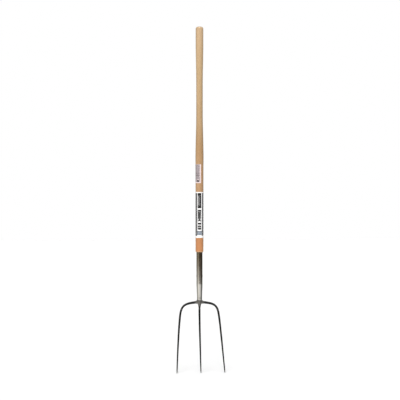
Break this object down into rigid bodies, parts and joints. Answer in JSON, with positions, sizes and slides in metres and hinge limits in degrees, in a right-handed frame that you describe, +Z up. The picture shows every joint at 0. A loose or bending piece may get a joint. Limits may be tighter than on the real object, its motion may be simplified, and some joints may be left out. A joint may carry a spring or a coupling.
{
  "type": "hay fork",
  "caption": "Long-handled hay fork: straight domed wooden handle, bright steel ferrule and a forged arched head with slim pointed tines that curve forward.",
  "frame": {"origin": "on the handle's axis, where the straight grip meets the dome at its top end", "axes": "+Z up along the handle and out of the grip end, -Z towards the tips, -Y the front that the tines curve to, +X to the right seen from the front"},
  "size_m": [0.222, 0.0894, 1.5812],
  "materials": {
    "ash_wood": "satin clear lacquer over ash",
    "bright_steel": "polished",
    "plain_steel": "plain turned",
    "forged_steel": "black over forged scale, worn grey at the boss",
    "weld_metal": "ground weld",
    "black_lacquer": "gloss black lacquer, worn at the points",
    "label_film": null,
    "care_film": null
  },
  "bodies": {
    "root": {"handle": "ash_wood", "ferrule": "bright_steel", "tang": "plain_steel", "ferrule_rivet": "bright_steel", "yoke": "forged_steel", "tine_welds": "weld_metal", "left_tine": "black_lacquer", "centre_tine": "black_lacquer", "right_tine": "black_lacquer", "main_label": "label_film", "care_label": "care_film"}
  },
  "joints": []
}
